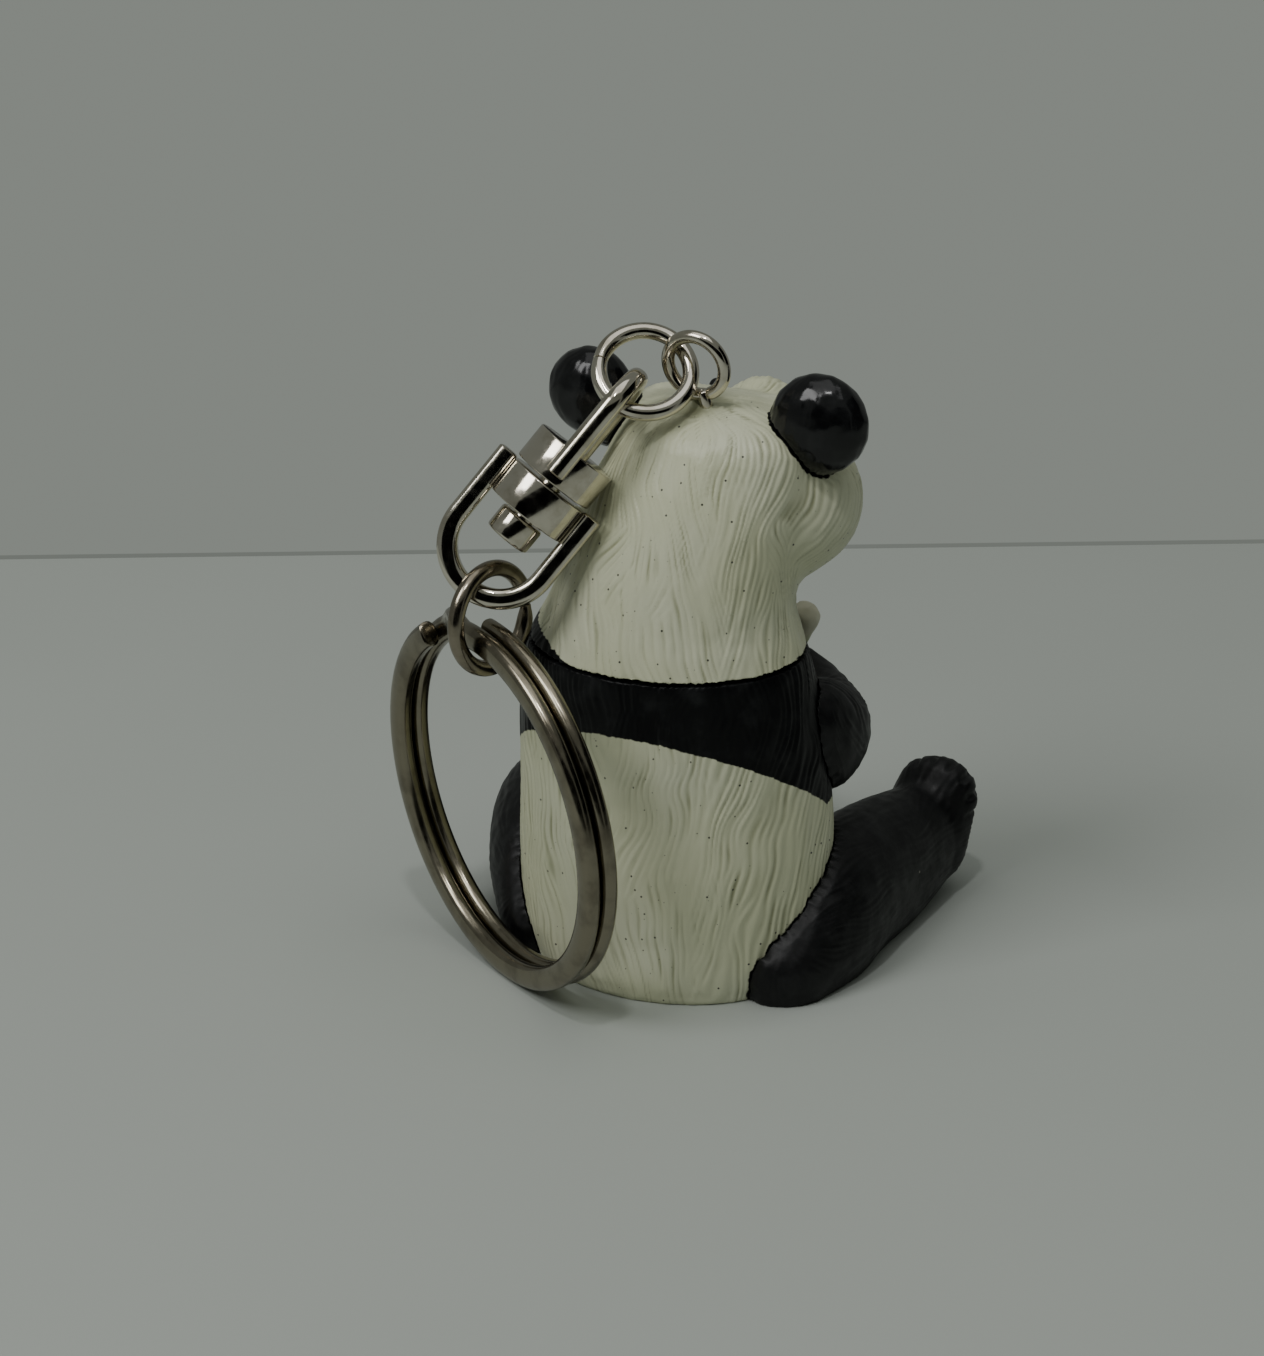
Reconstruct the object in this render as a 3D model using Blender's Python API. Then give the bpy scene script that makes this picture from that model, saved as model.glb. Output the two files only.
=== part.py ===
"""Panda figure key ring: a seated moulded panda, with a screw eye in its crown that holds a chain of two jump
rings, a swivel and a split ring.

Frame: +Z up, and the origin at the middle of the seat's flat underside. The panda faces -Y, so its right side
is at -X.
Sizes are in millimetres in the tables of masses and in metres elsewhere, as a number times MM.
Run it with: blender --background --python part.py
"""

import math

import bmesh
import bpy
from mathutils import Matrix, Vector

MM = 0.001

# Moulded figure.
PART_GAP = 0.3 * MM  # between two moulded pieces
VOXEL = 0.55 * MM  # cell of the remesh that melts a piece's masses together
NECK_Z = 24.47 * MM  # the head's cape meets the torso on this plane
PEG_R = 1.66 * MM
PEG_LENGTH = 2.7 * MM
PEG_ROOT = 1.4 * MM  # how far the peg reaches back into its own piece
PEG_FIT = 0.1 * MM  # radial clearance of a peg in its socket
PEG_END_GAP = 0.4 * MM

# Screw eye and jump rings: radii are to the wire's centre line.
EYE_R = 2.23 * MM
EYE_WIRE_R = 0.48 * MM
SHANK_LENGTH = 7.26 * MM
SHANK_FIT = 0.1 * MM
TOP_RING_R = 3.21 * MM
LOWER_RING_R = 3.58 * MM
RING_WIRE_R = 0.59 * MM
RING_SLIT = 0.12 * MM  # between the closed ends of a jump ring

# Swivel: lengths along its axis are from the middle of the collar, towards the bail.
COLLAR_R = 3.11 * MM
COLLAR_HALF = 1.35 * MM
DRUM_R = 3.11 * MM
DRUM_BOTTOM = 1.66 * MM
DRUM_TOP = 4.36 * MM
PIN_R = 0.83 * MM
PIN_FIT = 0.1 * MM
PIN_HEAD_R = 1.71 * MM
PIN_HEAD_TOP = -1.61 * MM
PIN_HEAD_BOTTOM = -3.53 * MM
BAIL_HALF_WIDTH = 2.85 * MM
BAIL_TOP = 10.89 * MM  # centre line of the bail's crest
BAIL_WIRE_R = 0.75 * MM
LOOP_HALF_WIDTH = 3.75 * MM
LOOP_CENTRE = -4.15 * MM
LOOP_WIRE_R = 0.75 * MM

# Split ring.
SPLIT_OUTER_R = 14.0 * MM
SPLIT_RADIAL = 1.9 * MM
SPLIT_AXIAL = 1.3 * MM
SPLIT_PITCH = 1.4 * MM  # from one turn to the next, so 0.1 mm is open between them
JOGGLE_RISE = 0.5 * MM  # the step between turns stands this far out
JOGGLE_AT = math.radians(17)  # the step's place, from the ring's top
JOGGLE_HALF = math.radians(11)
SPLIT_END_GAP = math.radians(15)  # from the middle of the step to each wire end
SPLIT_STEPS = 96

# Places and directions of the chain's pieces, with the split ring standing on the floor behind the left hip.
EYE_CENTRE = Vector((-1.18, -0.29, 45.25)) * MM
EYE_NORMAL = Vector((-0.06, -0.986, 0.156))
EYE_SHANK = Vector((-0.20, -0.10, -0.97))
TOP_RING_CENTRE = Vector((2.12, 1.02, 44.74)) * MM
TOP_RING_NORMAL = Vector((-0.36, 0.613, 0.703))
COLLAR_CENTRE = Vector((7.84, 6.44, 36.17)) * MM
SWIVEL_AXIS = Vector((-0.489, -0.447, 0.749))
LOOP_ACROSS = Vector((-0.811, -0.083, -0.579))
LOWER_RING_CENTRE = Vector((10.16, 9.34, 27.95)) * MM
LOWER_RING_NORMAL = Vector((-0.958, 0.277, 0.066))
SPLIT_CENTRE = Vector((9.60, 9.34, 14.00)) * MM
SPLIT_NORMAL = Vector((-0.540, -0.837, 0.091))

# Where each loose link swings: on the middle of the wire that it hangs from.
EYE_PIVOT = Vector((-0.70, -0.66, 43.11)) * MM
TOP_RING_PIVOT = Vector((2.97, 3.56, 42.96)) * MM
LOOP_PIVOT = Vector((11.58, 9.96, 30.17)) * MM
LOWER_RING_PIVOT = Vector((10.75, 11.95, 25.57)) * MM

GREEN = (0.50, 0.55, 0.30)
CREAM = (0.74, 0.72, 0.62)
BLACK = (0.012, 0.013, 0.016)
NICKEL = (0.62, 0.60, 0.55)
SATIN = (0.50, 0.46, 0.40)

# Rounded masses of the moulded pieces, as runs of (centre, radii). A run is filled in between its masses.
HEAD = (
    (
        ((0.9, -0.2, 24.3), (10.6, 9.0, 2.7)),
        ((0.6, -0.4, 27.4), (9.1, 8.3, 3.1)),
        ((0.0, -1.0, 31.1), (8.6, 7.9, 3.1)),
        ((-1.0, -2.1, 35.3), (8.5, 7.3, 3.3)),
        ((-2.0, -2.5, 38.4), (7.6, 6.1, 4.3)),
    ),
    (((-6.1, -5.0, 34.8), (5.7, 5.6, 5.8)), ((2.2, -5.0, 34.8), (5.7, 5.6, 5.8))),
    (((-6.3, -4.6, 32.9), (4.0, 4.6, 4.2)), ((2.4, -4.6, 32.9), (4.0, 4.6, 4.2))),
    (((-4.8, -5.2, 37.5), (4.8, 5.0, 4.6)), ((2.7, -5.2, 37.5), (4.8, 5.0, 4.6))),
    (((-2.1, -7.3, 36.7), (4.6, 4.4, 4.1)), ((-2.0, -10.1, 38.8), (3.2, 3.1, 3.0))),
)
TORSO = (
    (
        ((0.2, -0.2, 0.8), (10.8, 9.3, 3.1)),
        ((0.4, -0.7, 4.1), (11.9, 9.7, 3.3)),
        ((0.4, -0.8, 9.3), (12.0, 10.0, 3.3)),
        ((0.5, -0.7, 14.5), (11.9, 9.5, 3.3)),
        ((0.7, -0.4, 19.7), (11.5, 9.3, 3.3)),
        ((0.9, -0.2, 24.3), (10.6, 9.0, 2.7)),
    ),
)
EAR_LEFT = ((((8.2, -3.0, 41.4), (3.4, 2.4, 3.4)), ((6.8, -3.3, 39.8), (2.7, 2.1, 2.7))),)
EAR_RIGHT = ((((-9.6, -2.5, 41.5), (3.8, 2.5, 3.8)), ((-8.5, -2.9, 40.0), (2.9, 2.1, 2.9))),)
ARM_RIGHT = (
    (
        ((-7.3, -1.7, 19.5), (3.7, 3.7, 3.5)),
        ((-8.9, -4.4, 17.2), (3.4, 4.1, 4.6)),
        ((-8.3, -8.3, 16.4), (3.3, 3.4, 3.6)),
        ((-5.8, -11.2, 17.2), (2.9, 3.0, 3.0)),
        ((-3.5, -12.2, 18.3), (2.6, 2.6, 2.7)),
    ),
)
LEG_RIGHT = (
    (
        ((-9.2, 2.3, 1.7), (4.1, 3.7, 3.7)),
        ((-9.9, -2.1, 3.5), (4.9, 4.8, 5.8)),
        ((-10.2, -6.6, 4.1), (4.8, 4.8, 5.8)),
        ((-10.8, -12.0, 3.9), (4.4, 4.4, 5.6)),
        ((-11.6, -16.2, 4.1), (3.8, 3.5, 4.8)),
    ),
    (((-12.1, -18.5, 4.1), (3.6, 3.0, 4.1)), ((-12.7, -19.7, 7.5), (3.4, 2.2, 3.0))),
)
LEG_LEFT = (
    (
        ((9.1, 1.5, 2.1), (4.4, 4.1, 3.9)),
        ((11.8, -3.7, 4.4), (5.0, 5.0, 5.6)),
        ((14.1, -9.7, 5.2), (4.8, 4.6, 5.0)),
        ((14.1, -15.1, 4.8), (3.9, 3.7, 4.6)),
    ),
    (((14.1, -18.0, 4.1), (3.7, 3.1, 4.1)), ((14.3, -19.5, 7.9), (3.5, 2.3, 3.1))),
)
ARM_SHIFT = 1.5  # the left arm is this much further out
SHOOT = (
    (
        ((-4.3, -13.2, 22.6), (1.35, 1.35, 1.35)),
        ((-0.2, -13.4, 16.0), (1.9, 1.9, 1.9)),
        ((1.7, -13.2, 13.1), (1.8, 1.8, 1.8)),
    ),
)
RUN_STEPS = 6  # masses put in between two of a run

TORSO_KEEP = 0.09
HEAD_KEEP = 0.13
LIMB_KEEP = 0.13
EAR_KEEP = 0.25
CUTTER_KEEP = 0.12


def clear_scene():
    for obj in list(bpy.data.objects):
        bpy.data.objects.remove(obj)


def material(name, colour, roughness, metallic):
    made = bpy.data.materials.new(name)
    made.use_nodes = True
    shader = made.node_tree.nodes["Principled BSDF"]
    shader.inputs["Base Color"].default_value = (*colour, 1)
    shader.inputs["Roughness"].default_value = roughness
    shader.inputs["Metallic"].default_value = metallic
    made.diffuse_color = (*colour, 1)
    return made


def add_object(name, mesh, finish=None):
    """A part with its finish or, with none, a helper that the build leaves out."""
    obj = bpy.data.objects.new(name, mesh)
    bpy.context.scene.collection.objects.link(obj)
    if finish:
        mesh.materials.append(finish)
    else:
        obj.hide_render = True
        obj.display_type = "WIRE"
    return obj


def mesh_from(bm, name):
    bmesh.ops.recalc_face_normals(bm, faces=bm.faces[:])
    mesh = bpy.data.meshes.new(name)
    bm.to_mesh(mesh)
    bm.free()
    mesh.shade_smooth()
    mesh.set_sharp_from_angle(angle=math.radians(40))
    return mesh


def pivot(obj, point):
    """Puts a piece's origin at the point that it swings about, and leaves the piece where it is."""
    obj.data.transform(Matrix.Translation(-point))
    obj.location = point


# Moulded pieces


def filled(run):
    """A run's masses, with others put in between them on smooth curves through their centres and radii."""
    rows = [Vector((*centre, *radii)) for centre, radii in run]
    rows = [2 * rows[0] - rows[1], *rows, 2 * rows[-1] - rows[-2]]
    for before, start, end, after in zip(rows, rows[1:], rows[2:], rows[3:]):
        for step in range(RUN_STEPS):
            t = step / RUN_STEPS
            square = 2 * before - 5 * start + 4 * end - after
            cube = 3 * start - before - 3 * end + after
            yield start + ((end - before) * t + square * t**2 + cube * t**3) / 2
    yield rows[-2]


def masses_mesh(name, runs, grow=0.0):
    """One mesh of overlapping ellipsoids, with every radius longer by grow."""
    bm = bmesh.new()
    for run in runs:
        for row in filled(run):
            centre, radii = Vector(row[:3]) * MM, Vector(row[3:]) * MM
            sized = Matrix.Diagonal((*(radius + grow for radius in radii), 1))
            place = Matrix.Translation(centre) @ sized
            bmesh.ops.create_icosphere(bm, subdivisions=3, radius=1, matrix=place)
    return mesh_from(bm, name)


def melt(obj, keep):
    """Melts an object's masses into one soft skin, and keeps about this share of its triangles."""
    remesh = obj.modifiers.new("melt", "REMESH")
    remesh.mode = "VOXEL"
    remesh.voxel_size = VOXEL
    soften = obj.modifiers.new("soften", "SMOOTH")
    soften.factor = 0.5
    soften.iterations = 8
    thin = obj.modifiers.new("thin", "DECIMATE")
    thin.ratio = keep
    return obj


def moulded(name, runs, finish, keep):
    return melt(add_object(name, masses_mesh(name, runs), finish), keep)


def clearance(name, runs):
    """A cutter one part gap larger than the piece made of these runs."""
    return melt(add_object(name, masses_mesh(name, runs, PART_GAP)), CUTTER_KEEP)


def boolean(obj, tool, operation):
    step = obj.modifiers.new(f"{operation} {tool.name}", "BOOLEAN")
    step.operation = operation
    step.object = tool
    step.solver = "EXACT"


def rod(name, start, direction, length, radius, sides=20, finish=None):
    """A solid cylinder from start along a direction."""
    bm = bmesh.new()
    place = Matrix.Translation(start) @ direction.to_track_quat("Z", "Y").to_matrix().to_4x4()
    lift = Matrix.Translation((0, 0, length / 2))
    bmesh.ops.create_cone(
        bm, cap_ends=True, segments=sides, radius1=radius, radius2=radius, depth=length, matrix=place @ lift
    )
    return add_object(name, mesh_from(bm, name), finish)


def slab(name, low, high):
    """A box cutter between two corners."""
    bm = bmesh.new()
    size = high - low
    place = Matrix.Translation((low + high) / 2) @ Matrix.Diagonal((*size, 1))
    bmesh.ops.create_cube(bm, size=1, matrix=place)
    return add_object(name, mesh_from(bm, name))


def peg_joint(inner, outer, at, direction):
    """A peg on the outer piece, in a socket of the inner piece. The direction runs from outer to inner."""
    direction = direction.normalized()
    root = at - direction * PEG_ROOT
    peg = rod(f"{outer.name}_peg", root, direction, PEG_ROOT + PEG_LENGTH, PEG_R)
    socket_depth = PEG_ROOT + PEG_LENGTH + PEG_END_GAP
    socket = rod(f"{outer.name}_socket", root, direction, socket_depth, PEG_R + PEG_FIT)
    boolean(inner, socket, "DIFFERENCE")
    boolean(outer, peg, "UNION")


def make_figure(cream, black, green):
    big = 60 * MM
    under = slab("under_floor", Vector((-big, -big, -big)), Vector((big, big, 0)))
    below_neck = slab("below_neck", Vector((-big, -big, -big)), Vector((big, big, NECK_Z + PART_GAP)))
    above_neck = slab("above_neck", Vector((-big, -big, NECK_Z)), Vector((big, big, big)))

    head = moulded("head", HEAD, cream, HEAD_KEEP)
    head_cut = clearance("head_clearance", HEAD)
    boolean(head, below_neck, "DIFFERENCE")
    boolean(head_cut, below_neck, "DIFFERENCE")
    torso = moulded("torso", TORSO, cream, TORSO_KEEP)
    torso_cut = clearance("torso_clearance", TORSO)
    boolean(torso, above_neck, "DIFFERENCE")
    boolean(torso, under, "DIFFERENCE")
    peg_joint(head, torso, Vector((0.4 * MM, -0.4 * MM, NECK_Z)), Vector((0, 0, 1)))

    moulded("bamboo_shoot", SHOOT, green, LIMB_KEEP)
    shoot_cut = clearance("shoot_clearance", SHOOT)
    for side, masses in (("right", ARM_RIGHT), ("left", mirrored(ARM_RIGHT, ARM_SHIFT))):
        arm = moulded(f"arm_{side}", masses, black, LIMB_KEEP)
        boolean(arm, torso_cut, "DIFFERENCE")
        boolean(arm, shoot_cut, "DIFFERENCE")
        out = -1 if side == "right" else 1
        peg_joint(torso, arm, Vector((10.4 * out + 0.5, -3.5, 18.2)) * MM, Vector((-out, 0.3, 0)))
    for side, masses in (("right", LEG_RIGHT), ("left", LEG_LEFT)):
        leg = moulded(f"leg_{side}", masses, black, LIMB_KEEP)
        boolean(leg, torso_cut, "DIFFERENCE")
        boolean(leg, under, "DIFFERENCE")
        out = -1 if side == "right" else 1
        peg_joint(torso, leg, Vector((10.0 * out, -5.2, 5.0)) * MM, Vector((-out, 0.5, 0)))
    for side, masses in (("right", EAR_RIGHT), ("left", EAR_LEFT)):
        ear = moulded(f"ear_{side}", masses, black, EAR_KEEP)
        boolean(ear, head_cut, "DIFFERENCE")
    return head


def mirrored(runs, shift):
    """The same runs on the panda's other side, moved along X by shift."""
    return [[((shift - x, y, z), radii) for (x, y, z), radii in run] for run in runs]


# Chain


def sweep(name, points, across, half_across, half_depth, finish=None, sides=10, power=1.0):
    """A rod bent along the points of a curve. Its section reaches half_across along across, and half_depth the
    other way. A power under 1 squares the section's corners."""
    bm = bmesh.new()
    rows = []
    last = len(points) - 1
    for i, point in enumerate(points):
        tangent = (points[min(i + 1, last)] - points[max(i - 1, 0)]).normalized()
        wide = (across - across.dot(tangent) * tangent).normalized()
        deep = tangent.cross(wide)
        row = []
        for k in range(sides):
            turn = math.tau * k / sides
            a = math.copysign(abs(math.cos(turn)) ** power, math.cos(turn)) * half_across
            b = math.copysign(abs(math.sin(turn)) ** power, math.sin(turn)) * half_depth
            row.append(bm.verts.new(point + wide * a + deep * b))
        rows.append(row)
    for before, after in zip(rows, rows[1:]):
        for k in range(sides):
            m = (k + 1) % sides
            bm.faces.new((before[k], before[m], after[m], after[k]))
    bm.faces.new(rows[0])
    bm.faces.new(reversed(rows[-1]))
    return add_object(name, mesh_from(bm, name), finish)


def arc(centre, along, up, radius, start, end, steps):
    """Points from one angle to another, counted from along towards up."""
    angles = [start + (end - start) * i / steps for i in range(steps + 1)]
    return [centre + radius * (math.cos(a) * along + math.sin(a) * up) for a in angles]


def ring_axes(normal, towards):
    """Two unit vectors in a ring's plane, the first as near to towards as it can be."""
    normal = normal.normalized()
    along = (towards - towards.dot(normal) * normal).normalized()
    return along, normal.cross(along)


def jump_ring(name, centre, normal, slit_towards, radius, nickel):
    """A round wire ring, bent until its ends almost meet, with the slit at one place."""
    along, up = ring_axes(normal, slit_towards)
    half_slit = RING_SLIT / 2 / radius
    points = arc(centre, along, up, radius, half_slit, math.tau - half_slit, 36)
    return sweep(name, points, normal.normalized(), RING_WIRE_R, RING_WIRE_R, nickel)


def make_screw_eye(head, nickel):
    normal = EYE_NORMAL.normalized()
    down, side = ring_axes(normal, EYE_SHANK)
    foot = EYE_CENTRE + EYE_R * down
    eye_end = math.radians(345)
    ring = arc(EYE_CENTRE, down, side, EYE_R, 0, eye_end, 30)
    eye = sweep("screw_eye", ring, normal, EYE_WIRE_R, EYE_WIRE_R, nickel)
    shank = rod("shank", foot - EYE_WIRE_R / 2 * down, down, SHANK_LENGTH, EYE_WIRE_R, 12)
    boolean(eye, shank, "UNION")
    depth = SHANK_LENGTH + SHANK_FIT
    hole = rod("shank_hole", foot - depth * down, down, 2 * depth, EYE_WIRE_R + SHANK_FIT, 12)
    boolean(head, hole, "DIFFERENCE")


def make_swivel(nickel):
    axis = SWIVEL_AXIS.normalized()
    across, _ = ring_axes(axis, LOOP_ACROSS)
    depth = axis.cross(across)
    centre = COLLAR_CENTRE

    crest = centre + (BAIL_TOP - BAIL_HALF_WIDTH) * axis
    foot = centre + (DRUM_BOTTOM + BAIL_WIRE_R) * axis
    side = BAIL_HALF_WIDTH * depth
    bend = arc(crest, depth, axis, BAIL_HALF_WIDTH, 0, math.pi, 18)
    bail = sweep("swivel_bail", [foot + side, *bend, foot - side], across, BAIL_WIRE_R, BAIL_WIRE_R, nickel)
    drum = rod("drum", centre + DRUM_BOTTOM * axis, axis, DRUM_TOP - DRUM_BOTTOM, DRUM_R, 36)
    boolean(bail, drum, "UNION")

    low = centre + LOOP_CENTRE * axis
    side = LOOP_HALF_WIDTH * across
    top = centre + COLLAR_HALF * axis
    bend = arc(low, across, -axis, LOOP_HALF_WIDTH, 0, math.pi, 20)
    frame = sweep("swivel_frame", [top + side, *bend, top - side], depth, LOOP_WIRE_R, LOOP_WIRE_R, nickel)
    collar = rod("collar", centre - COLLAR_HALF * axis, axis, 2 * COLLAR_HALF, COLLAR_R, 36)
    boolean(frame, collar, "UNION")

    pin_foot = centre + PIN_HEAD_BOTTOM * axis
    bore_length = DRUM_TOP - PIN_R + PIN_FIT - PIN_HEAD_BOTTOM
    bore = rod("pin_bore", pin_foot, axis, bore_length, PIN_R + PIN_FIT)
    boolean(frame, bore, "DIFFERENCE")
    boolean(bail, bore, "DIFFERENCE")
    pin_length = bore_length - PIN_FIT - PIN_R
    pin = rod("swivel_pin", pin_foot + PIN_R * axis, axis, pin_length, PIN_R, finish=nickel)
    head = rod("pin_head", pin_foot, axis, PIN_HEAD_TOP - PIN_HEAD_BOTTOM, PIN_HEAD_R, 24)
    boolean(pin, head, "UNION")
    return bail, pin, frame


def make_split_ring(nickel):
    """One wire wound into two turns, which steps from the first to the second near the top."""
    normal = SPLIT_NORMAL.normalized()
    up, right = ring_axes(normal, Vector((0, 0, 1)))
    wire_r = SPLIT_OUTER_R - SPLIT_RADIAL / 2
    reach = math.tau - SPLIT_END_GAP
    points = []
    for i in range(SPLIT_STEPS + 1):
        angle = -reach + 2 * reach * i / SPLIT_STEPS
        t = max(-1.0, min(1.0, angle / JOGGLE_HALF))
        level = SPLIT_PITCH / 2 * math.sin(math.pi / 2 * t)
        radius = wire_r + JOGGLE_RISE * math.cos(math.pi / 2 * t)
        turn = JOGGLE_AT + angle
        spoke = math.cos(turn) * up - math.sin(turn) * right
        points.append(SPLIT_CENTRE + radius * spoke + level * normal)
    return sweep("split_ring", points, normal, SPLIT_AXIAL / 2, SPLIT_RADIAL / 2, nickel, 10, 0.8)


def main():
    clear_scene()
    cream = material("cream_vinyl", CREAM, 0.45, 0)
    black = material("black_paint", BLACK, 0.35, 0)
    green = material("green_paint", GREEN, 0.45, 0)
    nickel = material("nickel_plate", NICKEL, 0.25, 1)
    satin = material("satin_nickel", SATIN, 0.35, 1)
    head = make_figure(cream, black, green)
    make_screw_eye(head, nickel)
    top_slit, lower_slit = Vector((1, 1, 1)), Vector((0, -1, 0))
    top_ring = jump_ring("top_jump_ring", TOP_RING_CENTRE, TOP_RING_NORMAL, top_slit, TOP_RING_R, nickel)
    bail, pin, frame = make_swivel(nickel)
    lower_ring = jump_ring(
        "lower_jump_ring", LOWER_RING_CENTRE, LOWER_RING_NORMAL, lower_slit, LOWER_RING_R, nickel
    )
    split_ring = make_split_ring(satin)

    pivot(top_ring, EYE_PIVOT)
    pivot(bail, TOP_RING_PIVOT)
    pivot(pin, TOP_RING_PIVOT)
    pivot(frame, COLLAR_CENTRE)
    pivot(lower_ring, LOOP_PIVOT)
    pivot(split_ring, LOWER_RING_PIVOT)


main()
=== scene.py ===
import math

import bmesh
import bpy
import numpy as np
from mathutils import Matrix, Vector
from mathutils.bvhtree import BVHTree


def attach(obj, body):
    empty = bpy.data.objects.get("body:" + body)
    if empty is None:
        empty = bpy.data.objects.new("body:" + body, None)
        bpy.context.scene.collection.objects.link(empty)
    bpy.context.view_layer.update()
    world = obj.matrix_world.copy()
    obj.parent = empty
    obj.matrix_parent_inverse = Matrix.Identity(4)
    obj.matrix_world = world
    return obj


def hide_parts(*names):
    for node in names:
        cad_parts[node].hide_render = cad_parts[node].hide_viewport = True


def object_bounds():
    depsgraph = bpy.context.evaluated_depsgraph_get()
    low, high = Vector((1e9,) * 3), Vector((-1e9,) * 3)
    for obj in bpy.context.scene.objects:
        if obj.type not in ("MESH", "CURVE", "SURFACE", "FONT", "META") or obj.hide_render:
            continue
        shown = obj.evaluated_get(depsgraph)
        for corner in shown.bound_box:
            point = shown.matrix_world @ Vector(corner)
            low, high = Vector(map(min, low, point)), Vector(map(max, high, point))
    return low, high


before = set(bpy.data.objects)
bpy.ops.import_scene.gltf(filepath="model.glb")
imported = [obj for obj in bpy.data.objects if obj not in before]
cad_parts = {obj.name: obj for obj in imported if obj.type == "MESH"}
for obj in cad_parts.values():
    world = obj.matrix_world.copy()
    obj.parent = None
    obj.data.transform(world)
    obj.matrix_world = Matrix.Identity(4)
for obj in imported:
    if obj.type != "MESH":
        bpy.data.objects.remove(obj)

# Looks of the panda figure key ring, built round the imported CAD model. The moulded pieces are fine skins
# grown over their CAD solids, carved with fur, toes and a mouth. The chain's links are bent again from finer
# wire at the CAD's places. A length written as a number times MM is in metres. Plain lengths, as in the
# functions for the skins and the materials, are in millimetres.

CAD_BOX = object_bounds()
MM = 0.001

# Moulded skins, in millimetres apart from CELL.
CELL = 0.15 * MM  # voxel of the skins
RELAX_ROUNDS = 60
NECK_Z = 24.47  # where the cape of the head meets the torso
NECK_GAP = 0.3
NECK_CLOSE = 0.26  # the head's rim comes down this far over the gap
FUR_DEPTH = 0.24
ARM_FUR_DEPTH = 0.2
LEG_FUR_DEPTH = 0.1
EAR_FUR_DEPTH = 0.06
SHOOT_GRAIN_DEPTH = 0.03
JOIN_REACH = 1.0  # a limb's skin bends over to its neighbour from this near
JOIN_ROUNDS = 24
JOIN_GAP = 0.02
JOIN_SIGHT = 1.5  # the paint knows of a neighbour from this near
BOX_KEEP = 0.004  # each skin stays this far inside the CAD's box
BACKWARDS = Vector((-0.42, 0.91, 0))  # where the fur of the head and the back parts

# Large odd numbers that scatter a point of a grid.
HASH_FACTORS = (374761393, 668265263, 1274126177)
HASH_MIXER = 1103515245
HASH_MASK = 0x7FFFFFFF

# Feet and face, in millimetres.
FOOT_TIPS = {"leg_right": Vector((-12.7, -19.7, 7.3)), "leg_left": Vector((14.3, -19.5, 7.7))}
TOES = 5
TOES_FROM = math.radians(-32)  # angles round a foot's rim, from straight up and outward
TOES_TO = math.radians(108)
TOE_NOTCH = 0.26
MUZZLE = Vector((-2.0, -13.0, 38.8))
MOUTH_Z = 37.5
MOUTH_DEPTH = 0.3
PATCH_CENTRE = (3.9, -9.3, 40.3)  # X is counted from the muzzle's middle
PATCH_RADII = (1.5, 3.0, 2.0)
PATCH_TURN = 0.5
PANDA_EYE = (3.55, -10.15, 40.4)
PANDA_EYE_RADII = (0.62, 0.5, 0.68)
NOSE_CENTRE = (0, -12.75, 39.75)
NOSE_RADII = (1.15, 0.75, 0.75)

# Edges of the black paint, in millimetres.
BAND_SLOPE = 0.68  # the band's lower edge drops this much for each mm towards the chest
BAND_MIDDLE = 14.4  # its height at Y = 0
BAND_LOWEST = 13.2
CAPE_EDGE = 0.16  # black on the cape's rim, and how it rises on the panda's left
CAPE_RISE_FROM = 4.8
CAPE_RISE = 0.3

# Chain, as in the CAD.
EYE_R = 2.2 * MM
EYE_WIRE_R = 0.47 * MM
EYE_BEND = math.radians(345)
SHANK_LENGTH = 7.2 * MM
TOP_RING_R = 3.21 * MM
LOWER_RING_R = 3.58 * MM
RING_WIRE_R = 0.59 * MM
RING_SLIT = 0.12 * MM
PINCH_REACH = 0.7  # mm from a slit that a ring's wire is nipped thinner
COLLAR_R = 3.11 * MM
COLLAR_HALF = 1.35 * MM
DRUM_BOTTOM = 1.66 * MM
DRUM_TOP = 4.36 * MM
PIN_R = 0.83 * MM
PIN_FIT = 0.1 * MM
PIN_HEAD_R = 1.71 * MM
PIN_HEAD_TOP = -1.61 * MM
PIN_HEAD_BOTTOM = -3.53 * MM
BAIL_HALF_WIDTH = 2.85 * MM
BAIL_TOP = 10.89 * MM
BAIL_WIRE_R = 0.75 * MM
LOOP_HALF_WIDTH = 3.75 * MM
LOOP_CENTRE = -4.15 * MM
LOOP_WIRE_R = 0.75 * MM
EDGE = 0.12 * MM  # rounding of the swivel's edges and the wires' ends
NIPPED_EDGE = 0.05 * MM  # rounding of the jump rings' nipped ends
SPLIT_WIRE_PATH_R = 13.02 * MM
SPLIT_RADIAL = 1.88 * MM
SPLIT_AXIAL = 1.3 * MM
SPLIT_PITCH = 1.4 * MM
JOGGLE_RISE = 0.5 * MM
JOGGLE_AT = math.radians(17)
JOGGLE_HALF = math.radians(11)
SPLIT_END_GAP = math.radians(15)

EYE_CENTRE = Vector((-1.18, -0.29, 45.25)) * MM
EYE_NORMAL = Vector((-0.06, -0.986, 0.156))
EYE_SHANK = Vector((-0.20, -0.10, -0.97))
TOP_RING_CENTRE = Vector((2.12, 1.02, 44.74)) * MM
TOP_RING_NORMAL = Vector((-0.36, 0.613, 0.703))
COLLAR_CENTRE = Vector((7.84, 6.44, 36.17)) * MM
SWIVEL_AXIS = Vector((-0.489, -0.447, 0.749)).normalized()
LOOP_ACROSS = Vector((-0.811, -0.083, -0.579))
LOWER_RING_CENTRE = Vector((10.16, 9.34, 27.95)) * MM
LOWER_RING_NORMAL = Vector((-0.958, 0.277, 0.066))
SPLIT_CENTRE = Vector((9.60, 9.34, 14.00)) * MM
SPLIT_NORMAL = Vector((-0.540, -0.837, 0.091)).normalized()

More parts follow.
